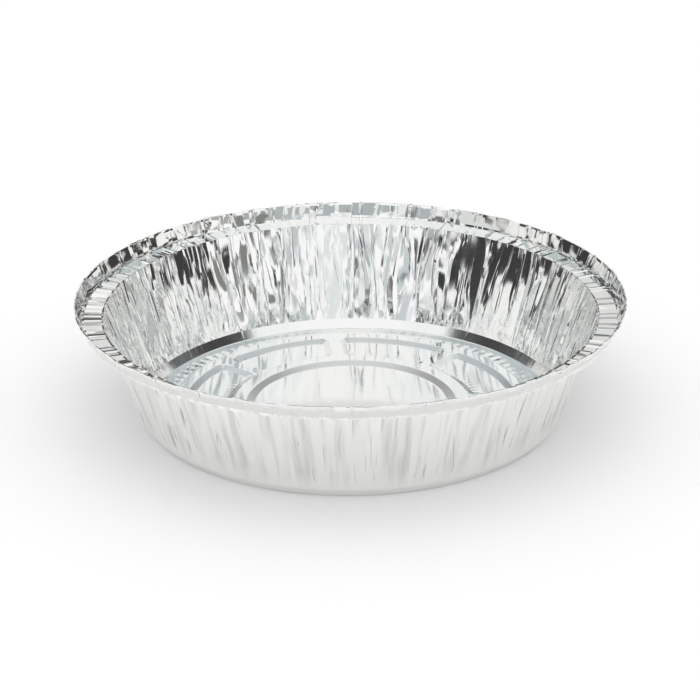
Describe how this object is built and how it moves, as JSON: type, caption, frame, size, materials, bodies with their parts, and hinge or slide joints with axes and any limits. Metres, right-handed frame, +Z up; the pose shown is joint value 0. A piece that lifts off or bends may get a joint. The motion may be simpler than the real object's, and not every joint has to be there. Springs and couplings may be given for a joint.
{
  "type": "foil pie tin",
  "caption": "Round foil pie tin pressed from one sheet: embossed flat base, gathered sloping wall, crimped flange and an upright lip with a folded hem.",
  "frame": {"origin": "on the table under the middle of the base", "axes": "+Z up along the tin's own axis, +X to the right and +Y to the back as the picture sees it"},
  "size_m": [0.2301, 0.2305, 0.0507],
  "materials": {
    "foil": "bright rolled foil, finely creased"
  },
  "bodies": {
    "root": {"pan": "foil"}
  },
  "joints": []
}
